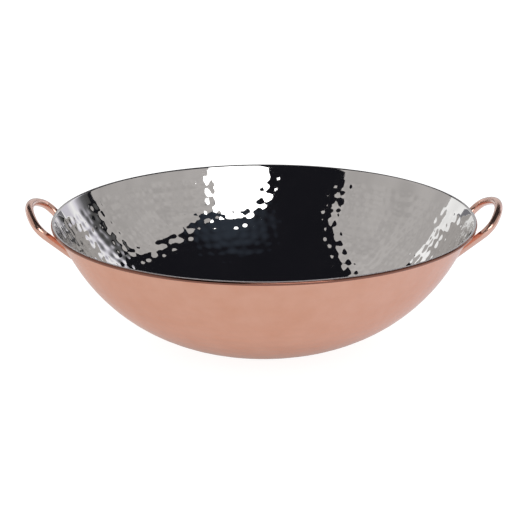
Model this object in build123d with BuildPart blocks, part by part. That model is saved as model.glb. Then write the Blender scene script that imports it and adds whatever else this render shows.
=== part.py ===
"""Copper jam pan: a hammered copper bowl with a steel lining, a wired rim and two loop handles.

Millimetres. The origin is the centre of the base, on the surface that the pan stands on. +Z is up, and
the handles stand out along +X and -X.
"""

import os
from math import acos, asin, atan2, cos, degrees, hypot, radians, sin, sqrt, tan

from build123d import *

# Bowl
rim_diameter = 360.0  # over the outside of the rolled bead
pan_depth = 106.0  # from the surface that the pan stands on to the crest of the rim
wall_radius = 155.3  # of the copper wall's outer face, in section
straight_wall_length = 30.0  # under the rim, where the wall is a plain cone
base_foot_diameter = 109.0  # where the arc of the wall meets the plane of the base
base_blend_radius = 60.0  # rounds the wall into the flat base
copper_thickness = 0.7
liner_thickness = 0.5

# Rim
rim_wire_diameter = 1.3
wire_gap = 0.05  # between the wire and the copper rolled round it
curl_edge_gap = 0.1  # between the rolled edge of the copper and the wall below it
liner_lap_angle = 15.0  # degrees that the steel reaches past the crest of the bead

# Handles, measured on the centre line of the rod
rod_diameter = 7.0
handle_foot_drop = 18.3  # from the crest of the rim down to where the loop's plane meets the wall
handle_wall_angle = 17.0  # degrees between the loop's plane and the wall
handle_length = 41.0  # from the wall to the front of the loop, along the loop's plane
handle_foot_spacing = 59.0  # between the legs, along the line where the loop's plane meets the wall
leg_flare = 20.5  # degrees that each leg leans outward
corner_bend_radius = 12.0
front_bend_radius = 54.0

# Welds
weld_size = 1.0  # how far each weld stands proud of the rod and of the wall

# The section of the bowl, in radius and height
rim_radius = rim_diameter / 2
wire_radius = rim_wire_diameter / 2
curl_radius = wire_radius + wire_gap
bead_radius = curl_radius + copper_thickness
wire_ring_radius = rim_radius - bead_radius
wire_height = pan_depth - liner_thickness - bead_radius
base_foot_radius = base_foot_diameter / 2


def wall_centre():
    """The centre of the wall's arc, which meets the base at its foot and runs into the straight wall."""
    chord_r = wire_ring_radius - base_foot_radius
    chord = hypot(chord_r, wire_height)
    to_wire = hypot(wall_radius + curl_radius, straight_wall_length)
    along = (wall_radius**2 - to_wire**2 + chord**2) / (2 * chord)
    across = sqrt(wall_radius**2 - along**2)
    centre_r = base_foot_radius + (along * chord_r - across * wire_height) / chord
    centre_z = (along * wire_height + across * chord_r) / chord
    return centre_r, centre_z


centre_r, centre_z = wall_centre()
# Directions are measured from straight down, so where the arc ends this is also the slope of the straight wall
wire_direction = degrees(atan2(wire_ring_radius - centre_r, centre_z - wire_height))
rim_slope = wire_direction - degrees(atan2(straight_wall_length, wall_radius + curl_radius))
blend_gap = wall_radius - base_blend_radius
flat_radius = centre_r + sqrt(blend_gap**2 - (centre_z - base_blend_radius) ** 2)
blend_slope = degrees(asin((flat_radius - centre_r) / blend_gap))
curl_reach = 360 - degrees(acos((curl_radius - curl_edge_gap) / bead_radius))
lap_reach = rim_slope + liner_lap_angle


def around(centre, radius, slope):
    """The point at a radius from a centre, at an angle from straight down."""
    return centre[0] + radius * sin(radians(slope)), centre[1] - radius * cos(radians(slope))


def wall_top(depth):
    """Where the wall runs into the curl, at a depth inside the copper's outer face."""
    return around((wire_ring_radius, wire_height), -curl_radius - depth, rim_slope)


def wall_face(depth):
    """One face of the bowl from the axis to the rim, at a depth inside the copper's outer face."""
    Line((0, depth), (flat_radius, depth))
    CenterArc((flat_radius, base_blend_radius), base_blend_radius - depth, -90, blend_slope)
    CenterArc((centre_r, centre_z), wall_radius - depth, blend_slope - 90, rim_slope - blend_slope)
    Line(around((centre_r, centre_z), wall_radius - depth, rim_slope), wall_top(depth))


def curl_face(radius, reach):
    """An arc round the rim wire, from the wall over the crest and outward."""
    CenterArc((wire_ring_radius, wire_height), radius, rim_slope + 90, -reach)


def curl_end(radius, reach):
    """Where such an arc ends."""
    turn = radians(rim_slope + 90 - reach)
    return wire_ring_radius + radius * cos(turn), wire_height + radius * sin(turn)


# Copper shell, rolled round the rim wire
with BuildPart() as copper_shell:
    with BuildSketch(Plane.XZ):
        with BuildLine():
            wall_face(0)
            curl_face(curl_radius, curl_reach)
            Line(curl_end(curl_radius, curl_reach), curl_end(bead_radius, curl_reach))
            curl_face(bead_radius, curl_reach)
            wall_face(copper_thickness)
            Line((0, 0), (0, copper_thickness))
        make_face()
    revolve(axis=Axis.Z)
copper_shell.part.label = "copper_shell"

# Steel liner, bonded to the copper and lapped over the crest of the bead
sheet_thickness = copper_thickness + liner_thickness
with BuildPart() as steel_liner:
    with BuildSketch(Plane.XZ):
        with BuildLine():
            wall_face(copper_thickness)
            curl_face(bead_radius, lap_reach)
            Line(curl_end(bead_radius, lap_reach), curl_end(bead_radius + liner_thickness, lap_reach))
            curl_face(bead_radius + liner_thickness, lap_reach)
            wall_face(sheet_thickness)
            Line((0, copper_thickness), (0, sheet_thickness))
        make_face()
    revolve(axis=Axis.Z)
steel_liner.part.label = "steel_liner"

# Rim wire, one closed ring inside the bead
with BuildPart() as rim_wire:
    with BuildSketch(Plane.XZ):
        with Locations((wire_ring_radius, wire_height)):
            Circle(wire_radius)
    revolve(axis=Axis.Z)
rim_wire.part.label = "rim_wire"

# The plane of a handle leaves the wall at a set angle. Its origin is at the front of the loop, with x
# outward and up, and y along the rim
foot_z = pan_depth - handle_foot_drop
foot_r = wall_top(0)[0] - (wall_top(0)[1] - foot_z) / tan(radians(rim_slope))
tilt = radians(rim_slope - handle_wall_angle)
flare = radians(leg_flare)
loop_front = (foot_r + handle_length * cos(tilt), 0, foot_z + handle_length * sin(tilt))
loop_plane = Plane(origin=loop_front, x_dir=(cos(tilt), 0, sin(tilt)), z_dir=(-sin(tilt), 0, cos(tilt)))

# The bends: two corner arcs inside one wide front arc, with a straight leg from each corner
foot_y = handle_foot_spacing / 2
inward = (sin(flare), -cos(flare))
front_centre = -front_bend_radius
bend_gap = front_bend_radius - corner_bend_radius
foot_offset = (front_centre + handle_length) * inward[0] - foot_y * inward[1]
join_angle = flare - asin((corner_bend_radius - foot_offset) / bend_gap)
corner_x = front_centre + bend_gap * cos(join_angle)
corner_y = bend_gap * sin(join_angle)
leg_top = (corner_x - corner_bend_radius * inward[0], corner_y - corner_bend_radius * inward[1])
leg_overrun = 3 * rod_diameter  # carries each leg well inside the wall, where it is cut off
leg_root = (-handle_length - leg_overrun * cos(flare), foot_y - leg_overrun * sin(flare))
corner_turn = 90 + leg_flare - degrees(join_angle)


def loop_path():
    """The centre line of the rod, from one leg round the loop to the other."""
    Line(leg_root, leg_top)
    CenterArc((corner_x, corner_y), corner_bend_radius, 90 + leg_flare, -corner_turn)
    CenterArc((front_centre, 0), front_bend_radius, degrees(join_angle), -2 * degrees(join_angle))
    CenterArc((corner_x, -corner_y), corner_bend_radius, -degrees(join_angle), -corner_turn)
    Line((leg_top[0], -leg_top[1]), (leg_root[0], -leg_root[1]))


def sweep_rod(radius):
    """A round rod along the centre line of the loop."""
    with BuildLine(loop_plane) as centre_line:
        loop_path()
    with BuildSketch(centre_line.line ^ 0) as section:
        Circle(radius)
    sweep(section.sketch, path=centre_line.line)


# Everything inside the outer face of the wall, carried straight up as high as the loop, to trim the legs
trim_top = loop_front[2]
with BuildPart() as inside_wall:
    with BuildSketch(Plane.XZ):
        with BuildLine():
            wall_face(0)
            Polyline(wall_top(0), (wall_top(0)[0], trim_top), (0, trim_top), (0, 0))
        make_face()
    revolve(axis=Axis.Z)

# Handles: the rod ends are cut to lie flush on the wall
with BuildPart() as right_handle:
    sweep_rod(rod_diameter / 2)
    add(inside_wall.part, mode=Mode.SUBTRACT)
right_handle.part.label = "right_handle"

with BuildPart() as left_handle:
    mirror(right_handle.part, about=Plane.YZ)
left_handle.part.label = "left_handle"

# A skin on the outside of the wall, as thick as the welds
with BuildPart() as weld_skin:
    with BuildSketch(Plane.XZ):
        with BuildLine():
            wall_face(0)
            Line(wall_top(0), wall_top(-weld_size))
            wall_face(-weld_size)
            Line((0, 0), (0, -weld_size))
        make_face()
    revolve(axis=Axis.Z)

# Welds: a collar round each rod end, where a thicker rod would pass through that skin
with BuildPart() as right_welds:
    sweep_rod(rod_diameter / 2 + weld_size)
    add(weld_skin.part, mode=Mode.INTERSECT)
    add(right_handle.part, mode=Mode.SUBTRACT)
    add(copper_shell.part, mode=Mode.SUBTRACT)

with BuildPart() as right_back_weld:
    add(right_welds.solids().sort_by(Axis.Y)[-1])
right_back_weld.part.label = "right_back_weld"

with BuildPart() as right_front_weld:
    mirror(right_back_weld.part, about=Plane.XZ)
right_front_weld.part.label = "right_front_weld"

with BuildPart() as left_back_weld:
    mirror(right_back_weld.part, about=Plane.YZ)
left_back_weld.part.label = "left_back_weld"

with BuildPart() as left_front_weld:
    mirror(right_front_weld.part, about=Plane.YZ)
left_front_weld.part.label = "left_front_weld"

pieces = (
    copper_shell,
    steel_liner,
    rim_wire,
    left_handle,
    right_handle,
    left_front_weld,
    left_back_weld,
    right_front_weld,
    right_back_weld,
)
os.makedirs("parts", exist_ok=True)
for piece in pieces:
    export_step(piece.part, f"parts/{piece.part.label}.step")
    size = [round(side, 1) for side in piece.part.bounding_box().size]
    print(piece.part.label, "volume", round(piece.part.volume, 1), "size", size)
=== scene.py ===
# %% [markdown]
# A copper jam pan
# This lesson dresses a finished model of a jam pan. The model brings every size, so nothing here is moved
# or resized. What is added is what the hand and the polishing wheel leave behind: hammer marks, a rolled
# bead, soft welds and the finish of each metal. Mirror-bright metal shows its surroundings more than
# itself, so the last third of the lesson is about the studio round the pan.

# %% Load the frame
from math import acos, asin, atan2, cos, degrees, hypot, pi, radians, sin, sqrt, tan

import bpy
import numpy as np
from mathutils import Matrix, Vector


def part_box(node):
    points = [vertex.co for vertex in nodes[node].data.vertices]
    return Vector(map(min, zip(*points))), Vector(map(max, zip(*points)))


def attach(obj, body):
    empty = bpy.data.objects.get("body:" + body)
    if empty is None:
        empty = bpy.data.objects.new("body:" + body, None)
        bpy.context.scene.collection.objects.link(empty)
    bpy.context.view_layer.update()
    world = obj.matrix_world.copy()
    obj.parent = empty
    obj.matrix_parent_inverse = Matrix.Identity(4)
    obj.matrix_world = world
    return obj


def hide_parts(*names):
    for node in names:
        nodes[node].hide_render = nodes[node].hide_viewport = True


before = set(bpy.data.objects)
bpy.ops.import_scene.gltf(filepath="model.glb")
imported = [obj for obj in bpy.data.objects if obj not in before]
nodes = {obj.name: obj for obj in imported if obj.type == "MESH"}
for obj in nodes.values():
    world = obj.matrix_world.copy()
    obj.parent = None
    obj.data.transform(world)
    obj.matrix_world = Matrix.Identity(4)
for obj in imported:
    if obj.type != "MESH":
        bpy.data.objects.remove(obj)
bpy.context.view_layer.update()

print("pieces in the frame:", ", ".join(sorted(nodes)))

# %% [markdown]
# The sheet of the bowl
# The bowl is two sheets bonded into one: copper outside, steel inside. It could be measured off the frame's
# mesh point by point, but a maker works from a drawing, so this does too. The outer sizes are read from the
# frame, and the rest are the sheet's own: how thick it is, how it curves, and what is rolled up in its rim.

# %% Sizes of the sheet
mm = 0.001
rim_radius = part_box("copper_shell")[1].x
pan_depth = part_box("steel_liner")[1].z
copper_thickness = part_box("steel_liner")[0].z
liner_thickness = 0.5 * mm
sheet_thickness = copper_thickness + liner_thickness
wall_radius = 155.3 * mm
straight_wall_length = 30.0 * mm
base_foot_radius = 54.5 * mm
base_blend_radius = 60.0 * mm
print("rim", round(2 * rim_radius / mm, 1), "mm across, depth", round(pan_depth / mm, 1), "mm, sheet",
      round(sheet_thickness / mm, 2), "mm thick")

# %% Sizes of the bead
wire_radius = 0.65 * mm
wire_gap = 0.05 * mm
curl_edge_gap = 0.1 * mm
liner_lap_angle = radians(15.0)
curl_radius = wire_radius + wire_gap
bead_radius = curl_radius + copper_thickness
wire_ring_radius = rim_radius - bead_radius
wire_height = pan_depth - liner_thickness - bead_radius
print("bead", round(2 * (bead_radius + liner_thickness) / mm, 2), "mm thick with the steel over it")

# %% [markdown]
# The section of the bowl
# Cut the bowl through its middle and the cut shows four parts in turn: a small flat to stand on, a blend, a
# wall that is a single arc, and a plain straight stretch under the rim. A curve object could carry that
# profile, but a formula is better here, because everything on the sheet can then be placed by how far along
# the section it lies, as a smith marks it out with dividers from the centre. First comes the centre of the
# wall's arc, from which the other parts follow.


# %% The arc of the wall
def wall_centre():
    """The centre of the wall's arc, which meets the base at its foot and runs into the straight wall."""
    chord_r = wire_ring_radius - base_foot_radius
    chord = hypot(chord_r, wire_height)
    to_wire = hypot(wall_radius + curl_radius, straight_wall_length)
    along = (wall_radius**2 - to_wire**2 + chord**2) / (2 * chord)
    across = sqrt(wall_radius**2 - along**2)
    centre_r = base_foot_radius + (along * chord_r - across * wire_height) / chord
    centre_z = (along * wire_height + across * chord_r) / chord
    return centre_r, centre_z


centre_r, centre_z = wall_centre()
wire_direction = atan2(wire_ring_radius - centre_r, centre_z - wire_height)
rim_slope = wire_direction - atan2(straight_wall_length, wall_radius + curl_radius)
blend_gap = wall_radius - base_blend_radius
flat_radius = centre_r + sqrt(blend_gap**2 - (centre_z - base_blend_radius) ** 2)
blend_slope = asin((flat_radius - centre_r) / blend_gap)
print("flat base", round(2 * flat_radius / mm, 1), "mm across, wall", round(degrees(rim_slope), 1),
      "degrees steep under the rim")

# %% Places along the section
blend_end = flat_radius + base_blend_radius * blend_slope
arc_end = blend_end + wall_radius * (rim_slope - blend_slope)
wall_end = arc_end + straight_wall_length


def section(along, depth):
    """Radius and height at a distance along the outer face and a depth into the sheet, as arrays."""
    on_flat = np.minimum(along, flat_radius)
    blend_turn = np.clip((along - flat_radius) / base_blend_radius, 0, blend_slope)
    wall_turn = np.clip((along - blend_end) / wall_radius, 0, rim_slope - blend_slope)
    slope = blend_turn + wall_turn
    in_blend = blend_turn < blend_slope
    blend_r, wall_r = on_flat + base_blend_radius * np.sin(slope), centre_r + wall_radius * np.sin(slope)
    blend_z, wall_z = base_blend_radius * (1 - np.cos(slope)), centre_z - wall_radius * np.cos(slope)
    r, z = np.where(in_blend, blend_r, wall_r), np.where(in_blend, blend_z, wall_z)
    on_straight = np.maximum(along - arc_end, 0)
    r, z = r + on_straight * cos(rim_slope), z + on_straight * sin(rim_slope)
    return r - depth * np.sin(slope), z + depth * np.cos(slope)


print("from the centre to the rim along the sheet:", round(wall_end / mm, 1), "mm")


# %% The rolled rim
def curl(radius, reach, steps):
    """Points of an arc round the rim wire, from the wall over the crest and outward."""
    turn = rim_slope + pi / 2 - np.linspace(0, reach, steps)
    return wire_ring_radius + radius * np.cos(turn), wire_height + radius * np.sin(turn)


print("the wire lies", round(wire_ring_radius / mm, 1), "mm out and", round(wire_height / mm, 1), "mm up")

# %% [markdown]
# Hammer marks
# The bowl is planished: a smith, or a machine that copies one, works round it ring by ring with a slightly
# domed hammer. Each blow leaves a shallow dish, and where dishes meet they leave a soft ridge. The marks
# could be a bump texture, but then the mirror inside wouldn't break up its reflections from every side as
# real dishes do, so they are real relief in the mesh. No two blows are alike: each wanders a little, bites a
# little more or less, and leaves a rounder or flatter dish. A band under the rim is left smooth, because a
# hammer would dent the bead there.

# %% Lay out the blows
ring_pitch = 9.3 * mm
mark_spacing = 10.4 * mm
mark_wander = 1.2 * mm
dish_radius_spread_share = 0.3
lightest_blow = 0.14 * mm
smooth_band = 11.5 * mm
fewest_blows = 3
chance = np.random.RandomState(19)
ring_count = int(round((wall_end - smooth_band) / ring_pitch))
marks = []
for ring in range(ring_count):
    ring_along = (ring + 0.5) * ring_pitch
    ring_r = float(section(np.array(ring_along), sheet_thickness)[0])
    blows = max(fewest_blows, int(round(2 * pi * ring_r / mark_spacing)))
    turns = 2 * pi * (np.arange(blows) + chance.rand()) / blows
    turns += chance.normal(0, mark_wander, blows) / ring_r
    alongs = ring_along + chance.normal(0, mark_wander, blows)
    flatness = 1 + dish_radius_spread_share * chance.uniform(-1, 1, blows)
    lifts = lightest_blow * chance.rand(blows)
    marks.append((alongs, turns, flatness, lifts))
print("hammer marks:", sum(len(ring_marks[0]) for ring_marks in marks), "in", ring_count, "rings")

# %% [markdown]
# The shape of a dish
# Each dish is a paraboloid, a little longer round the bowl than up it, because the sheet already curves that
# way. The sheet takes the deepest of all the dishes at each place. A plain deepest-of would leave knife-sharp
# ridges, so it is a soft one, which eases them as the polishing wheel has done.

# %% Depth of the dishes
dish_radius_along = 30.0 * mm
dish_radius_round = 45.0 * mm
mark_depth = 0.36 * mm
ridge_ease = 0.045 * mm
reach_in_pitches = 2


def dish_depths(along, turn):
    """How deep the sheet is dished at each distance along it and each turn round the bowl."""
    left = np.full((len(along), len(turn)), np.exp(-mark_depth / ridge_ease))
    r = section(along, sheet_thickness)[0]
    for alongs, turns, flatness, lifts in marks:
        rows = np.flatnonzero(np.abs(along - alongs.mean()) < reach_in_pitches * ring_pitch)
        for blow_along, blow_turn, flat, lift in zip(alongs, turns, flatness, lifts):
            off_turn = (turn - blow_turn + pi) % (2 * pi) - pi
            near = np.flatnonzero(np.abs(off_turn) * r[rows].mean() < reach_in_pitches * mark_spacing)
            ahead = (along[rows] - blow_along)[:, None]
            beside = r[rows][:, None] * off_turn[near][None, :]
            rise = (ahead**2 / dish_radius_along + beside**2 / dish_radius_round) / (2 * flat) + lift
            left[np.ix_(rows, near)] += np.exp(-rise / ridge_ease)
    return np.clip(mark_depth + ridge_ease * np.log(left), 0, mark_depth)


# %% Dish the sheet
columns = 535
face_step = 1.75 * mm
centre_hole = 1.2 * mm
turn_angles = 2 * pi * np.arange(columns) / columns
face_along = np.linspace(centre_hole, wall_end, int(round(wall_end / face_step)))
dishes = dish_depths(face_along, turn_angles)
print("rings on a dished face:", len(face_along), "deepest dish", round(dishes.max() / mm, 3), "mm, mean",
      round(dishes.mean() / mm, 3), "mm")

# %% [markdown]
# A piece of the pan
# Every mesh made here takes the place of a solid of the model, which is hidden. It is shaded smooth, as
# turned and polished metal is, except where two faces meet at more than forty degrees: there the edge stays
# crisp, as at the cut edge of a sheet. The Edge Split modifier does the same, but cuts the mesh apart.


# %% Add a piece
def add_piece(name, points, faces, material, slot, stands_for, sharp=radians(40.0)):
    """A smooth-shaded mesh that rides on the pan and stands for its pieces in the frame."""
    mesh = bpy.data.meshes.new(name)
    mesh.from_pydata(points, [], faces)
    mesh.validate()
    mesh.shade_smooth()
    mesh.set_sharp_from_angle(angle=sharp)
    mesh.materials.append(material)
    piece = bpy.data.objects.new(name, mesh)
    bpy.context.scene.collection.objects.link(piece)
    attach(piece, "root")
    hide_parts(*stands_for)
    print(name, len(mesh.vertices), "points", len(mesh.polygons), "faces")
    return piece


# %% [markdown]
# Turning a section into a closed sheet
# A bowl like this is spun on a lathe before it is hammered, and its mesh is made the same way. A closed
# section of rings runs from the middle of one face, out round the rim and back to the middle of the other.
# A Spin or Screw modifier would do for a plain bowl. Here each ring of a dished face has its own radius and
# height at every column, so the points are written out, and the rings are joined with four-sided faces. The
# face that is seen has rings every millimetre or two, and the bonded one, which isn't seen, only a few.


# %% Turn rings
def turned(ring_r, ring_z):
    """Points and faces of a sheet turned from rings, each with a radius and a height for every column."""
    count = len(ring_r)
    x = ring_r * np.cos(turn_angles)
    y = ring_r * np.sin(turn_angles)
    z = np.broadcast_to(ring_z, ring_r.shape)
    points = np.stack([x, y, z], axis=-1).reshape(-1, 3).tolist()
    start, end = len(points), len(points) + 1
    points += [(0.0, 0.0, float(ring_z[0].mean())), (0.0, 0.0, float(ring_z[-1].mean()))]
    last = (count - 1) * columns
    faces = []
    for column in range(columns):
        beside = (column + 1) % columns
        faces.append((start, beside, column))
        faces.append((end, last + column, last + beside))
        for ring in range(count - 1):
            this, above = ring * columns, (ring + 1) * columns
            faces.append((this + column, this + beside, above + beside, above + column))
    return points, faces


# %% Join the parts of a section
def rings(parts):
    """Joins parts of a section, each an array of radii and one of heights, into rings of columns."""
    joined = []
    for values in zip(*parts):
        wide = [v if v.ndim == 2 else v[:, None] for v in values]
        joined.append(np.concatenate([np.broadcast_to(v, (len(v), columns)) for v in wide]))
    return joined


hidden_step = 9.0 * mm
hidden_along = np.linspace(centre_hole, wall_end, int(round(wall_end / hidden_step)))
bonded_face = section(hidden_along, copper_thickness)
print("rings on a bonded face:", len(hidden_along))

# %% [markdown]
# Nodes and colours
# Every finish below is made of shader nodes. One small function adds a node, sets it and joins it up. Another
# turns a colour written in hex, as a paint maker would give it, into the linear light that a shader works
# in. Patches of tone and gloss come from noise, whose size is given in millimetres on the metal.


# %% Colours
def linear(hex_colour):
    """An sRGB hex colour as linear red, green, blue and alpha."""
    parts = [int(hex_colour[i:i + 2], 16) / 255 for i in (1, 3, 5)]
    return [c / 12.92 if c <= 0.04045 else ((c + 0.055) / 1.055) ** 2.4 for c in parts] + [1.0]


print("a mid grey in linear light:", [round(c, 3) for c in linear("#808080")[:3]])


# %% Nodes
def add_node(tree, kind, inputs=None, **settings):
    """Adds a node and its settings. Each input, by name or number, gets a node, an output or a value."""
    node = tree.nodes.new(kind)
    for name, value in settings.items():
        setattr(node, name, value)
    for key, source in (inputs or {}).items():
        named = [socket for socket in node.inputs if socket.enabled and socket.name == key]
        socket = named[0] if named else node.inputs[key]
        if isinstance(source, bpy.types.Node):
            source = [output for output in source.outputs if output.enabled][0]
        if isinstance(source, bpy.types.NodeSocket):
            tree.links.new(source, socket)
        else:
            socket.default_value = source
    return node


def empty_material(name):
    """A material without nodes, its node tree, and the output that tells the place on the object."""
    material = bpy.data.materials.new(name)
    material.use_nodes = True
    tree = material.node_tree
    tree.nodes.clear()
    print("material:", name)
    return material, tree, add_node(tree, "ShaderNodeTexCoord").outputs["Object"]


# %% Limits shared by the finishes
noise_low, noise_high = 0.3, 0.7
finish_edge = 0.3 * mm
print("one finish passes into another within", finish_edge / mm, "mm")

# %% [markdown]
# Stainless steel, mirror polished
# The lining is stainless sheet, polished on a cloth wheel until it is a mirror. What tells it from chrome
# plate is a faintly warm grey, and the hairlines that the last cloth leaves, which take the edge off its
# gloss. They run round the bowl, because it turned as it was polished, so the noise that draws them follows
# the radius and the height alone. Real hairlines are a few hundredths of a millimetre wide, too fine to show
# here, so they are drawn half a millimetre wide, and only as a change in gloss. Where the sheet laps over the
# bead it was pressed by a roller and never polished, which leaves it duller and a shade darker.

# %% Steel: where the hairlines and the lap are
hairline_width = 0.5 * mm
buffing_patch = 45 * mm
lap_start_share = 0.9
lap_from = wire_ring_radius - lap_start_share * bead_radius
steel, tree, place = empty_material("stainless_steel_mirror_polished")
axes = add_node(tree, "ShaderNodeSeparateXYZ", {"Vector": place})
level = add_node(tree, "ShaderNodeCombineXYZ", {"X": axes.outputs["X"], "Y": axes.outputs["Y"]})
out_r = add_node(tree, "ShaderNodeVectorMath", {0: level}, operation="LENGTH")
around_bowl = add_node(tree, "ShaderNodeCombineXYZ", {"X": out_r, "Y": axes.outputs["Z"]})
hairlines = add_node(tree, "ShaderNodeTexNoise", {"Vector": around_bowl, "Scale": 1 / hairline_width,
                                                 "Detail": 3.0, "Roughness": 0.6})
cloudy = add_node(tree, "ShaderNodeTexNoise", {"Vector": place, "Scale": 1 / buffing_patch, "Detail": 2.0})
on_lap = add_node(tree, "ShaderNodeMapRange", {"Value": out_r, "From Min": lap_from,
                                               "From Max": lap_from + finish_edge})
print("hairlines", round(hairline_width / mm, 2), "mm, duller from radius", round(lap_from / mm, 1), "mm")

# %% Steel: gloss and colour
mirror_roughness, hazed_roughness, lap_roughness = 0.015, 0.06, 0.30
least_wear, most_wear = 0.1, 0.45
wear = add_node(tree, "ShaderNodeMath", {0: hairlines, 1: cloudy}, operation="MULTIPLY")
polish = add_node(tree, "ShaderNodeMapRange", {"Value": wear, "From Min": least_wear, "From Max": most_wear,
                                               "To Min": mirror_roughness, "To Max": hazed_roughness})
roughness = add_node(tree, "ShaderNodeMix", {"Factor": on_lap, "A": polish, "B": lap_roughness},
                     data_type="FLOAT")
warm_grey = add_node(tree, "ShaderNodeMix", {"Factor": cloudy, "A": linear("#E4E3E1"),
                                             "B": linear("#EAE9E8")}, data_type="RGBA")
grey = add_node(tree, "ShaderNodeMix", {"Factor": on_lap, "A": warm_grey, "B": linear("#CFCED0")},
                data_type="RGBA")
shader = add_node(tree, "ShaderNodeBsdfPrincipled", {"Metallic": 1.0, "Base Color": grey,
                                                     "Roughness": roughness})
add_node(tree, "ShaderNodeOutputMaterial", {"Surface": shader})
print("roughness", mirror_roughness, "to", hazed_roughness, "and", lap_roughness, "on the lap")

# %% [markdown]
# Satin copper, planished and lacquered
# The outside is copper, rubbed with a fine abrasive so that it glows instead of mirroring, and then
# lacquered against tarnish. Its tone drifts from pink to orange in patches about as wide as two blows of the
# hammer, as copper's does when it is annealed and cleaned. The grain of the abrasive is a tenth of a
# millimetre at most, and is drawn eight times as coarse to show at all. The lacquer is a thin clear coat: it
# hardly shows from the front, and turns the copper pale where the wall curves away. The bead is coloured a
# darker brown than the wall, and glossier, because the roller has burnished it.

# %% Copper: tone
tone_patch = 18 * mm
bead_from = wire_height - bead_radius - finish_edge
copper, tree, place = empty_material("satin_copper_planished")
height = add_node(tree, "ShaderNodeSeparateXYZ", {"Vector": place}).outputs["Z"]
on_bead = add_node(tree, "ShaderNodeMapRange", {"Value": height, "From Min": bead_from,
                                                "From Max": bead_from + finish_edge})
cloudy = add_node(tree, "ShaderNodeTexNoise", {"Vector": place, "Scale": 1 / tone_patch, "Detail": 3.0})
pink = add_node(tree, "ShaderNodeMix", {"Factor": cloudy, "A": linear("#E6A88C"), "B": linear("#F2BDA7")},
                data_type="RGBA")
tone = add_node(tree, "ShaderNodeMix", {"Factor": on_bead, "A": pink, "B": linear("#8C5A49")},
                data_type="RGBA")
print("tone patches", round(tone_patch / mm), "mm, brown from height", round(bead_from / mm, 1), "mm")

# %% Copper: satin and lacquer
abrasive_grain = 0.8 * mm
satin_gloss, satin_dull, bead_roughness = 0.28, 0.38, 0.14
grain = add_node(tree, "ShaderNodeTexNoise", {"Vector": place, "Scale": 1 / abrasive_grain, "Detail": 2.0})
satin = add_node(tree, "ShaderNodeMapRange", {"Value": grain, "From Min": noise_low, "From Max": noise_high,
                                              "To Min": satin_gloss, "To Max": satin_dull})
roughness = add_node(tree, "ShaderNodeMix", {"Factor": on_bead, "A": satin, "B": bead_roughness},
                     data_type="FLOAT")
shader = add_node(tree, "ShaderNodeBsdfPrincipled", {
    "Metallic": 1.0, "Base Color": tone, "Roughness": roughness, "Specular Tint": linear("#F8DDD0"),
    "Coat Weight": 0.6, "Coat Roughness": 0.06})
add_node(tree, "ShaderNodeOutputMaterial", {"Surface": shader})
print("roughness", satin_gloss, "to", satin_dull, "and", bead_roughness, "on the bead")

# %% [markdown]
# Polished copper rod
# The handles are drawn copper rod, bent, polished by hand and lacquered like the bowl. A hand-held mop leaves
# a rod glossy but not a mirror, and a little better in some places than in others, so both its tone and its
# gloss follow the same patches.

# %% Rod
rod_gloss, rod_dull = 0.20, 0.28
rod_copper, tree, place = empty_material("polished_copper_rod")
cloudy = add_node(tree, "ShaderNodeTexNoise", {"Vector": place, "Scale": 1 / tone_patch, "Detail": 3.0})
tone = add_node(tree, "ShaderNodeMix", {"Factor": cloudy, "A": linear("#E8B29C"), "B": linear("#EFC4B4")},
                data_type="RGBA")
roughness = add_node(tree, "ShaderNodeMapRange", {"Value": cloudy, "From Min": noise_low,
                                                  "From Max": noise_high, "To Min": rod_gloss,
                                                  "To Max": rod_dull})
shader = add_node(tree, "ShaderNodeBsdfPrincipled", {
    "Metallic": 1.0, "Base Color": tone, "Roughness": roughness, "Coat Weight": 0.8, "Coat Roughness": 0.08})
add_node(tree, "ShaderNodeOutputMaterial", {"Surface": shader})
print("roughness", rod_gloss, "to", rod_dull, "in patches of", round(tone_patch / mm), "mm")

# %% [markdown]
# Copper weld, dressed
# Each joint is filled with copper rod of a slightly different alloy, filed back and sanded. It is duller and
# a shade browner than the handle, and the puddles of the weld, a millimetre or so across, can still be felt.
# They are so shallow that a bump is enough for them: the shape of the fillet itself is in the mesh.

# %% Weld
puddle = 1.2 * mm
puddle_height = 0.1 * mm
weld_copper, tree, place = empty_material("copper_weld_dressed")
ripples = add_node(tree, "ShaderNodeTexNoise", {"Vector": place, "Scale": 1 / puddle, "Detail": 2.0})
tone = add_node(tree, "ShaderNodeMix", {"Factor": ripples, "A": linear("#D79C84"), "B": linear("#E6B29E")},
                data_type="RGBA")
bump = add_node(tree, "ShaderNodeBump", {"Height": ripples, "Strength": 0.3, "Distance": puddle_height})
shader = add_node(tree, "ShaderNodeBsdfPrincipled", {"Metallic": 1.0, "Base Color": tone, "Roughness": 0.3,
                                                     "Normal": bump})
add_node(tree, "ShaderNodeOutputMaterial", {"Surface": shader})
print("weld puddles", round(puddle / mm, 1), "mm")

# %% [markdown]
# Drawn steel wire
# The wire in the bead is plain drawn steel, which is a dull mid grey from the die and the soap. Hardly any
# of it shows, so it keeps the frame's own mesh and gets only a finish.

# %% Wire
die_mark = 0.4 * mm
wire_steel, tree, place = empty_material("drawn_steel_wire")
scuffs = add_node(tree, "ShaderNodeTexNoise", {"Vector": place, "Scale": 1 / die_mark, "Detail": 2.0})
grey = add_node(tree, "ShaderNodeMix", {"Factor": scuffs, "A": linear("#8C8C8E"), "B": linear("#A9A9AB")},
                data_type="RGBA")
shader = add_node(tree, "ShaderNodeBsdfPrincipled", {"Metallic": 1.0, "Base Color": grey, "Roughness": 0.35})
add_node(tree, "ShaderNodeOutputMaterial", {"Surface": shader})
nodes["rim_wire"].data.materials.clear()
nodes["rim_wire"].data.materials.append(wire_steel)
print("the wire's own mesh has", len(nodes["rim_wire"].data.polygons), "faces")

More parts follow.
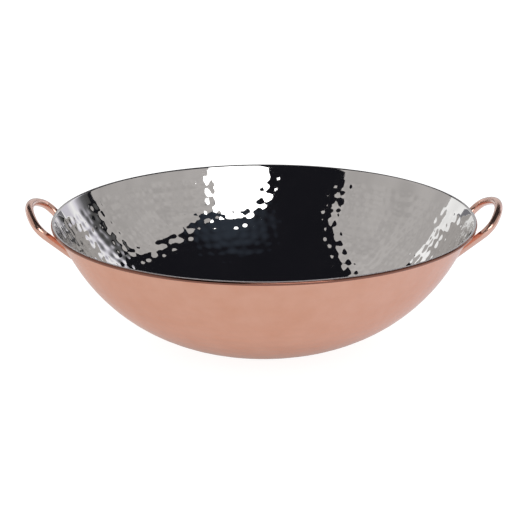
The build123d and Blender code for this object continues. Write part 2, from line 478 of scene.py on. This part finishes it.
# %% [markdown]
# The lining
# A steel sheet lies against the copper all over and is lapped over the crest of the bead. The sheet could be
# one surface with a Solidify modifier, but then its dishes would show on both faces, and the bonded one has
# to stay smooth to fit the copper. So the section goes along the dished face, over the bead, back round its
# underside and down the bonded face.

# %% Lining
lap_reach = rim_slope + liner_lap_angle
lap_steps = 11
liner_parts = [
    section(face_along[:, None], sheet_thickness - dishes),
    tuple(a[1:] for a in curl(bead_radius + liner_thickness, lap_reach, lap_steps)),
    tuple(a[::-1] for a in curl(bead_radius, lap_reach, lap_steps)),
    tuple(a[::-1][1:] for a in bonded_face),
]
add_piece("hammered_liner", *turned(*rings(liner_parts)), steel, "polished_steel", ["steel_liner"])

# %% [markdown]
# The copper shell
# The hammer works on the steel side, so the same marks show through outside, only softer, because the copper
# spreads each blow. That is one number here: the share of a dish's depth that reaches the outside. At the
# rim the copper goes all but once round the wire, and its edge stops just short of the wall.

# %% Shell
outside_share = 0.6
curl_reach = 2 * pi - acos((curl_radius - curl_edge_gap) / bead_radius)
curl_steps = 22
hidden_curl_steps = 12
shell_parts = [
    section(face_along[:, None], outside_share * dishes),
    tuple(a[1:] for a in curl(curl_radius, curl_reach, hidden_curl_steps)),
    tuple(a[::-1] for a in curl(bead_radius, curl_reach, curl_steps)),
    tuple(a[::-1][1:] for a in bonded_face),
]
add_piece("hammered_shell", *turned(*rings(shell_parts)), copper, "hammered_copper", ["copper_shell"])

# %% [markdown]
# The line of a handle
# Each handle is one copper rod bent into a loop in a single plane, which leans out from the wall by a set
# angle. The legs lean outward into tight corner bends, and a wide gentle bend joins them at the front. A
# bevelled curve would give the rod, but not ends that follow the wall, so the line is a formula too: the
# place and direction at any distance from the front of the loop.

# %% Sizes of the loop
rod_radius = 3.5 * mm
foot_drop = 18.3 * mm
wall_angle = radians(17.0)
loop_length = 41.0 * mm
foot_y = 29.5 * mm
flare = radians(20.5)
corner_radius = 12.0 * mm
front_radius = 54.0 * mm
top_r, top_z = (float(v) for v in section(np.array(wall_end), 0.0))
foot_z = pan_depth - foot_drop
foot_r = top_r - (top_z - foot_z) / tan(rim_slope)
tilt = rim_slope - wall_angle
out_dir = Vector((cos(tilt), 0, sin(tilt)))
side_dir = Vector((0, 1, 0))
up_dir = out_dir.cross(side_dir)
loop_front = Vector((foot_r, 0, foot_z)) + loop_length * out_dir
print("loop front at", [round(v / mm, 1) for v in loop_front], "mm, tilt", round(degrees(tilt), 1), "degrees")

# %% Bends of the loop
bend_gap = front_radius - corner_radius
foot_offset = (loop_length - front_radius) * sin(flare) + foot_y * cos(flare)
join_angle = flare - asin((corner_radius - foot_offset) / bend_gap)
corner_x = -front_radius + bend_gap * cos(join_angle)
corner_y = bend_gap * sin(join_angle)
leg_top = (corner_x - corner_radius * sin(flare), corner_y + corner_radius * cos(flare))
front_half = front_radius * join_angle
corner_length = corner_radius * (pi / 2 + flare - join_angle)
print("front bend", round(2 * front_half / mm, 1), "mm long, each corner", round(corner_length / mm, 1), "mm")


# %% Along the loop
def loop_point(along):
    """The place and direction, in the plane of the loop, at a distance from its front along the rod."""
    side = 1 if along >= 0 else -1
    far = abs(along)
    if far <= front_half:
        heading = far / front_radius
        x, y = -front_radius + front_radius * cos(heading), front_radius * sin(heading)
    elif far <= front_half + corner_length:
        heading = join_angle + (far - front_half) / corner_radius
        x, y = corner_x + corner_radius * cos(heading), corner_y + corner_radius * sin(heading)
    else:
        heading = pi / 2 + flare
        past = far - front_half - corner_length
        x, y = leg_top[0] - past * cos(flare), leg_top[1] - past * sin(flare)
    return x, side * y, -side * sin(heading), cos(heading)


def rod_point(along, turn, radius=rod_radius):
    """A point on the rod's surface, at a distance from the front and a turn round the rod."""
    x, y, dir_x, dir_y = loop_point(along)
    across = dir_y * out_dir - dir_x * side_dir
    middle = loop_front + x * out_dir + y * side_dir
    return middle + radius * (cos(turn) * across + sin(turn) * up_dir)


print("outermost point of the rod", [round(v / mm, 1) for v in rod_point(0, 0)], "mm")

# %% [markdown]
# Fitting the rod to the wall
# A smith files the end of each leg until it sits on the bowl. The same is done here by search: each line
# along the rod is followed until it is a hair inside the wall, halving the step each time. A Boolean would
# cut the rod as well, but it leaves uneven triangles that show in a polished surface.


# %% Distance from the wall
def wall_normal(point):
    """The direction straight out of the wall's outer face at a point, in radius and height."""
    r, z = hypot(point.x, point.y) - centre_r, point.z - centre_z
    slope = min(atan2(r, -z), rim_slope)
    return sin(slope), -cos(slope)


def above_wall(point):
    """How far a point stands outside the wall's outer face."""
    normal_r, normal_z = wall_normal(point)
    return (hypot(point.x, point.y) - centre_r) * normal_r + (point.z - centre_z) * normal_z - wall_radius


print("the loop's front is", round(above_wall(loop_front) / mm, 1), "mm off the wall")

# %% Follow each line to the wall
leg_overrun = 40 * mm
halvings = 40
rod_sides = 40


def wall_reach(turn, side, depth):
    """How far along the rod a line on its surface gets before it is that deep in the wall."""
    near, far = 0.0, front_half + corner_length + leg_overrun
    for _ in range(halvings):
        middle = (near + far) / 2
        if above_wall(rod_point(side * middle, turn)) > -depth:
            near = middle
        else:
            far = middle
    return side * near


rod_turns = [2 * pi * k / rod_sides for k in range(rod_sides)]
joints = [wall_reach(turn, 1, 0) for turn in rod_turns]
print("from the front to the joint:", round(min(joints) / mm, 1), "to", round(max(joints) / mm, 1), "mm")

# %% [markdown]
# The handles
# The rod is a tube of points: rings of forty, a little over a millimetre apart, closed with a fan at each
# end. Each end goes a fifth of a millimetre into the wall, so that no light shows in the joint. One loop is
# made, and the other is its mirror image, as on the real pan.

# %% The tube of the rod
rod_steps = 120
foot_bite = 0.2 * mm
starts = [wall_reach(turn, 1, foot_bite) for turn in rod_turns]
ends = [wall_reach(turn, -1, foot_bite) for turn in rod_turns]
loop_points = [
    rod_point(start + (end - start) * step / rod_steps, turn)
    for step in range(rod_steps + 1)
    for turn, start, end in zip(rod_turns, starts, ends)
]
loop_faces = [
    (a * rod_sides + k, a * rod_sides + (k + 1) % rod_sides,
     (a + 1) * rod_sides + (k + 1) % rod_sides, (a + 1) * rod_sides + k)
    for a in range(rod_steps)
    for k in range(rod_sides)
]
print("steps of the tube:", round((starts[0] - ends[0]) / rod_steps / mm, 2), "mm")

# %% Close the ends
for first, back in ((0, True), (rod_steps * rod_sides, False)):
    end_ring = [first + k for k in range(rod_sides)]
    hub = len(loop_points)
    loop_points.append(sum((loop_points[i] for i in end_ring), Vector()) / rod_sides)
    for k in range(rod_sides):
        pair = (end_ring[k], end_ring[(k + 1) % rod_sides])
        loop_faces.append((hub, *(pair[::-1] if back else pair)))
print("points of a loop:", len(loop_points))


# %% Set both handles
def mirrored(points, faces, x=1, y=1):
    """The same mesh mirrored through the middle of the pan, with its faces still turned outward."""
    moved = [(x * p[0], y * p[1], p[2]) for p in points]
    return moved, [f[::-1] for f in faces] if x * y < 0 else faces


for name, x in (("right", 1), ("left", -1)):
    add_piece(name + "_loop", *mirrored(loop_points, loop_faces, x=x), rod_copper, "polished_copper",
              [name + "_handle"])

# %% [markdown]
# The welds
# The loops are welded on, and the welds dressed until they run smoothly from rod to wall. Each is a thin
# concave fillet: for every line along the rod, a curve leaves the rod a little above the joint and lands on
# the wall a little outside it. A Bevel modifier can't round the joint between two separate pieces, so the
# curve is drawn, with its corner pulled in as a file pulls a weld in.

# %% The joint
weld_leg = 1.5 * mm
weld_steps = 8
weld_bite = 0.06 * mm
joint_line = [rod_point(along, turn) for along, turn in zip(joints, rod_turns)]
joint_middle = sum(joint_line, Vector()) / rod_sides
joint_length = sum((joint_line[k] - joint_line[k - 1]).length for k in range(rod_sides))
print("round a joint:", round(joint_length / mm, 1), "mm")


# %% Lines of a weld
def on_wall(point, depth):
    """The nearest place at that depth in the wall."""
    r = hypot(point.x, point.y)
    normal_r, normal_z = wall_normal(point)
    move = -depth - above_wall(point)
    new_r = r + move * normal_r
    return Vector((point.x * new_r / r, point.y * new_r / r, point.z + move * normal_z))


weld_points = []
for k, (turn, joint) in enumerate(zip(rod_turns, joints)):
    corner = joint_line[k]
    along_joint = joint_line[(k + 1) % rod_sides] - joint_line[k - 1]
    r = hypot(corner.x, corner.y)
    normal_r, normal_z = wall_normal(corner)
    outward = Vector((normal_r * corner.x / r, normal_r * corner.y / r, normal_z))
    away = along_joint.cross(outward).normalized()
    if away.dot(corner - joint_middle) < 0:
        away = -away
    on_rod = rod_point(joint - weld_leg, turn, rod_radius - weld_bite)
    landing = on_wall(corner + weld_leg * away, weld_bite)
    for step in range(weld_steps + 1):
        f = step / weld_steps
        weld_points.append((1 - f) ** 2 * on_rod + 2 * f * (1 - f) * corner + f**2 * landing)
    weld_points.append(on_wall(corner, copper_thickness / 2))
print("points of a weld:", len(weld_points))

# %% Set the four welds
weld_columns = weld_steps + 2
weld_faces = [
    (a * weld_columns + k, ((a + 1) % rod_sides) * weld_columns + k,
     ((a + 1) % rod_sides) * weld_columns + (k + 1) % weld_columns, a * weld_columns + (k + 1) % weld_columns)
    for a in range(rod_sides)
    for k in range(weld_columns)
]
sides = (("right_back", 1, 1), ("right_front", 1, -1), ("left_back", -1, 1), ("left_front", -1, -1))
for name, x, y in sides:
    add_piece(name + "_fillet", *mirrored(weld_points, weld_faces, x=x, y=y), weld_copper, "weld_metal",
              [name + "_weld"])

# %% [markdown]
# The studio
# A mirror shows the room, and a room made for it has few things in it: a white paper floor, a pale sweep at
# the back, a big grey panel on each side, a dark ceiling between them, and one bright softbox in front. They
# could be lamps, but a lamp gives a mirror only a spot, while a panel gives it a shape. Each panel is laid
# out by the directions of its corners seen from the pan: degrees away from straight up, to the right and to
# the back. The panels stand far off, so they look the same from every part of the bowl, and only
# reflections see them.

# %% Directions
panel_distance = 12.0
softbox_distance = 11.0


def direction(right, back):
    """The direction that lies that many degrees from straight up, to the right and to the back."""
    lean = radians(hypot(right, back))
    heading = atan2(back, right)
    return Vector((sin(lean) * cos(heading), sin(lean) * sin(heading), cos(lean)))


print("ten degrees to the right is", [round(v, 3) for v in direction(10, 0)])


# %% Hang a panel
def add_panel(name, corners, material, distance=panel_distance):
    """A panel that only reflections see."""
    mesh = bpy.data.meshes.new(name)
    mesh.from_pydata([distance * direction(*corner) for corner in corners], [], [tuple(range(len(corners)))])
    mesh.materials.append(material)
    panel = bpy.data.objects.new(name, mesh)
    bpy.context.scene.collection.objects.link(panel)
    panel.visible_camera = False
    panel.visible_diffuse = False
    panel.visible_shadow = False
    print(name, "with", len(corners), "corners")


# %% [markdown]
# Light from a panel
# Cloth on a frame never glows evenly: it has folds and a lamp behind it. So each panel's strength drifts by
# an eighth either way, which keeps the polished steel from looking like flat paint.

# %% Panel light
fold_size = 2.5
unevenness = 0.12


def glow(name, colour, strength):
    """Cloth with light behind it."""
    material, tree, place = empty_material(name)
    folds = add_node(tree, "ShaderNodeTexNoise", {"Vector": place, "Scale": 1 / fold_size, "Detail": 1.0})
    uneven = add_node(tree, "ShaderNodeMapRange", {
        "Value": folds, "From Min": noise_low, "From Max": noise_high,
        "To Min": (1 - unevenness) * strength, "To Max": (1 + unevenness) * strength})
    light = add_node(tree, "ShaderNodeEmission", {"Color": linear(colour), "Strength": uneven})
    add_node(tree, "ShaderNodeOutputMaterial", {"Surface": light})
    return material


grey_left = glow("grey_cloth_left", "#FFFAF8", 0.48)
grey_right = glow("grey_cloth_right", "#FFFAF8", 0.46)
white_card = glow("white_card", "#FFFFFF", 1.0)
paper_sweep = glow("paper_sweep", "#FFFDFC", 0.66)
table_edge = glow("table_edge", "#F2F0FA", 0.22)
softbox_cloth = glow("softbox_cloth", "#FFFFFF", 3.0)

# %% [markdown]
# A graded card
# Behind the right panel stands a card that falls off from bright lavender white to near black, as a card
# does when it turns out of the light. Its falloff is what makes the soft band at the left end of the bowl.
# A gradient texture would need its own map, so the brightness simply follows the heading seen from the pan.

# %% Graded light
card_stops = [(31.5, "#FFFDFA", 0.06), (35, "#FAFAFC", 0.09), (38.5, "#F4F4FA", 0.15), (43, "#F2F0FA", 0.50),
              (45.5, "#F6F4FF", 0.85), (49, "#FFFFFF", 1.0), (54, "#F1EEFA", 0.75), (66, "#F1EEFA", 0.70)]


def graded_glow(name, stops):
    """Light graded from side to side, by headings in degrees, each with a colour and a strength."""
    material, tree, place = empty_material(name)
    axes = add_node(tree, "ShaderNodeSeparateXYZ", {"Vector": place})
    heading = add_node(tree, "ShaderNodeMath", {0: axes.outputs["Y"], 1: axes.outputs["X"]},
                       operation="ARCTAN2")
    first, last = stops[0][0], stops[-1][0]
    across = add_node(tree, "ShaderNodeMapRange", {"Value": heading, "From Min": radians(first),
                                                   "From Max": radians(last)})
    ramp = add_node(tree, "ShaderNodeValToRGB", {"Fac": across})
    while len(ramp.color_ramp.elements) < len(stops):
        ramp.color_ramp.elements.new(1.0)
    for element, (at, colour, strength) in zip(ramp.color_ramp.elements, stops):
        element.position = (at - first) / (last - first)
        element.color = [strength * c for c in linear(colour)[:3]] + [1.0]
    light = add_node(tree, "ShaderNodeEmission", {"Color": ramp})
    add_node(tree, "ShaderNodeOutputMaterial", {"Surface": light})
    return material


graded_card = graded_glow("graded_card", card_stops)

# %% [markdown]
# Hanging the panels
# The corners are in order round each panel. The grey side panels reach from nearly overhead down to the
# horizon, and their inner edges are what the eye reads as the borders of the dark band in the bowl. The
# cards and the sweep stand behind them, low over the table's edge, and light the ends of the bowl and the
# tops of the handles. The softbox hangs in front, to the right, and makes the bright window at the back wall.

# %% Side panels
add_panel("left_panel", [(-45, 48.5), (-36, 47), (-27, 34), (-29, 22), (-30, 14), (-31, 0), (-31, -8),
                         (-34, -20), (-35, -28), (-43.5, -29.5), (-55, -42), (-50, -66), (-70, -52),
                         (-84, 0), (-80, 32), (-66, 52), (-57, 51)], grey_left)
add_panel("right_panel", [(27, -30), (34, -23), (35, -10), (38, -2), (42, 7), (42, 20), (45, 27), (50, 31),
                          (63, 35), (80, 30), (84, 0), (70, -52), (46, -70), (27, -46)], grey_right)

# %% Cards and sweep at the back
add_panel("right_back_card", [(51, 32.5), (48, 36), (43, 43), (36, 49), (30, 53), (40, 76), (57, 62),
                              (65, 52), (71, 45)], graded_card)
add_panel("left_back_card", [(-36, 60), (-37, 75.5), (-50, 68), (-60, 60), (-57.5, 52), (-57, 51.2),
                             (-45, 48.7)], white_card)
add_panel("back_sweep", [(-36, 60), (0, 62), (30, 53), (40, 74), (30, 79), (0, 84.3), (-37, 75.5)],
          paper_sweep)
add_panel("far_table", [(-58, 62), (-50, 68.2), (-37, 75.7), (-20, 82), (0, 84.5), (20, 82), (40, 74.5),
                        (44, 79), (22, 88), (0, 91), (-22, 88), (-41, 81), (-53, 73), (-62, 66)],
          table_edge)

# %% Softbox
add_panel("softbox", [(6.5, -36), (11, -30.5), (25, -27.5), (28, -37), (32.5, -40), (38, -58), (-12, -62),
                      (-3, -46), (3, -41)], softbox_cloth, softbox_distance)

# %% [markdown]
# The room
# Past the panels a mirror sees the room: dark overhead, with a faint cool haze where the softbox spills on
# the ceiling, and white at the horizon, where the paper is. What is not a mirror is lit by a plain white
# sky, and the camera sees that same white behind the pan.

# %% What a mirror sees of the room
horizon_low, horizon_high = 0.16, 0.24
spill_width = radians(24)
world = bpy.data.worlds.new("studio")
bpy.context.scene.world = world
world.use_nodes = True
tree = world.node_tree
tree.nodes.clear()
toward = add_node(tree, "ShaderNodeTexCoord").outputs["Generated"]
spill = add_node(tree, "ShaderNodeVectorMath", {0: toward, 1: direction(18, -26)}, operation="DOT_PRODUCT")
near_softbox = add_node(tree, "ShaderNodeMapRange", {"Value": spill, "From Min": cos(spill_width),
                                                     "From Max": 1.0})
ceiling = add_node(tree, "ShaderNodeMix", {"Factor": near_softbox, "A": linear("#17171C"),
                                           "B": linear("#30363F")}, data_type="RGBA")
height = add_node(tree, "ShaderNodeSeparateXYZ", {"Vector": toward}).outputs["Z"]
over_horizon = add_node(tree, "ShaderNodeMapRange", {"Value": height, "From Min": horizon_low,
                                                     "From Max": horizon_high})
mirrored_room = add_node(tree, "ShaderNodeMix", {"Factor": over_horizon, "A": linear("#FFFFFF"),
                                                 "B": ceiling}, data_type="RGBA")
print("white up to", round(degrees(asin(horizon_low)), 1), "degrees over the horizon")

# %% Sky
rays = add_node(tree, "ShaderNodeLightPath")
room = add_node(tree, "ShaderNodeMix", {"Factor": rays.outputs["Is Glossy Ray"], "A": linear("#FFFFFF"),
                                        "B": mirrored_room}, data_type="RGBA")
sky = add_node(tree, "ShaderNodeBackground", {"Color": room, "Strength": 1.0})
add_node(tree, "ShaderNodeOutputWorld", {"Surface": sky})
print("nodes of the sky:", len(tree.nodes))

# %% [markdown]
# The paper floor
# The floor is a sheet of white paper. The camera sees it nearly white, with a faint shadow under the pan.
# What
# the copper sees of it is painted light: the paper's own light for glossy rays is painted dimmer under the
# bowl, as painted shade where little light gets in, and a little brighter and cooler toward the right, where
# the softbox stands. A lit floor alone would go grey to the camera, so part of its light is its own, and the
# rest is matt paper that takes the shadow.

# %% Light that the metal sees on the paper
paper_mirrored = 0.525
under_from, under_to, under_light = 0.04, 0.125, 0.26
far_from, far_to, far_share = 0.11, 0.19, 0.92
right_from, right_to, right_gain = 0.02, 0.22, 1.3
floor_paper, tree, place = empty_material("white_paper_floor")
from_pan = add_node(tree, "ShaderNodeVectorMath", {0: place}, operation="LENGTH")
to_right = add_node(tree, "ShaderNodeSeparateXYZ", {"Vector": place}).outputs["X"]
# Painted shade: the paper's light in the metal is dimmer under the pan and a little dimmer far out.
painted_shade_under_pan = add_node(tree, "ShaderNodeMapRange", {"Value": from_pan, "From Min": under_from,
                                                  "From Max": under_to, "To Min": under_light,
                                                  "To Max": paper_mirrored})
further_out = add_node(tree, "ShaderNodeMapRange", {"Value": from_pan, "From Min": far_from,
                                                    "From Max": far_to, "To Min": 1.0, "To Max": far_share})
# Painted light: the paper's light in the metal grows brighter toward the right.
painted_light_to_right = add_node(tree, "ShaderNodeMapRange", {"Value": to_right, "From Min": right_from,
                                                   "From Max": right_to, "To Min": 1.0,
                                                   "To Max": right_gain})
out_light = add_node(tree, "ShaderNodeMath", {0: painted_shade_under_pan, 1: further_out}, operation="MULTIPLY")
in_metal = add_node(tree, "ShaderNodeMath", {0: out_light, 1: painted_light_to_right}, operation="MULTIPLY")
print("paper in the metal:", under_light, "under the pan,", paper_mirrored, "beside it")

# %% Light for each kind of ray
paper_seen = 0.9
rays = add_node(tree, "ShaderNodeLightPath")
camera_ray, glossy_ray = rays.outputs["Is Camera Ray"], rays.outputs["Is Glossy Ray"]
mirrored_light = add_node(tree, "ShaderNodeMath", {0: in_metal, 1: glossy_ray}, operation="MULTIPLY")
strength = add_node(tree, "ShaderNodeMath", {0: camera_ray, 1: paper_seen, 2: mirrored_light},
                    operation="MULTIPLY_ADD")
# Painted light: the paper's light in the metal turns cooler toward the right.
cool_share = add_node(tree, "ShaderNodeMapRange", {"Value": to_right, "From Min": right_from,
                                                   "From Max": right_to})
cool = add_node(tree, "ShaderNodeMath", {0: cool_share, 1: glossy_ray}, operation="MULTIPLY")
tint = add_node(tree, "ShaderNodeMix", {"Factor": cool, "A": linear("#FFFFFF"), "B": linear("#EAF3FF")},
                data_type="RGBA")
light = add_node(tree, "ShaderNodeEmission", {"Color": tint, "Strength": strength})
matt_paper = add_node(tree, "ShaderNodeBsdfDiffuse", {"Color": linear("#909090")})
both = add_node(tree, "ShaderNodeAddShader", {0: light, 1: matt_paper})
add_node(tree, "ShaderNodeOutputMaterial", {"Surface": both})
print("paper to the camera:", paper_seen, "of its own light")

# %% Lay the floor
half = 6.0
corners = [(-half, -half, 0), (half, -half, 0), (half, half, 0), (-half, half, 0)]
floor_mesh = bpy.data.meshes.new("floor")
floor_mesh.from_pydata(corners, [], [(0, 1, 2, 3)])
floor_mesh.materials.append(floor_paper)
floor = bpy.data.objects.new("floor", floor_mesh)
bpy.context.scene.collection.objects.link(floor)
print("floor", 2 * half, "m across")

# %% [markdown]
# The camera
# A catalogue camera looks down at the pan by about seventeen degrees, from far enough away that the rim stays
# a calm ellipse. It could be aimed with a Track To constraint, but a picture that is matched to a photograph
# needs a small roll as well, so the three axes are worked out and set as one matrix.

# %% Lens
camera_distance = 1.5
picture_pixels = 520
focal_pixels = 1753.5
sensor_width = 36.0
camera_data = bpy.data.cameras.new("camera")
camera_data.sensor_width = sensor_width
camera_data.lens = focal_pixels * sensor_width / picture_pixels
camera = bpy.data.objects.new("camera", camera_data)
bpy.context.scene.collection.objects.link(camera)
bpy.context.scene.camera = camera
print("lens", round(camera_data.lens, 1), "mm at", camera_distance, "m")

# %% Aim
camera_elevation = radians(17.38)
camera_turn = radians(-0.15)
camera_roll = radians(-0.15)
aim_across = -3.5 * mm
aim_height = 67.2 * mm
back = Vector((0, -cos(camera_elevation), sin(camera_elevation)))
right = Vector((1, 0, 0))
up = Vector((0, sin(camera_elevation), cos(camera_elevation)))
right_rolled = cos(camera_roll) * right + sin(camera_roll) * up
up_rolled = -sin(camera_roll) * right + cos(camera_roll) * up
stand = Vector((aim_across, 0, aim_height)) + camera_distance * back
facing = Matrix((right_rolled, up_rolled, back)).transposed().to_4x4()
camera.matrix_world = Matrix.Rotation(camera_turn, 4, "Z") @ Matrix.Translation(stand) @ facing
print("camera at", [round(v, 3) for v in camera.matrix_world.translation])

# %% [markdown]
# Plain colours
# The Standard view shows each colour as it was written, where a filmic view would grey the white paper.

# %% Finish
bpy.context.scene.view_settings.view_transform = "Standard"
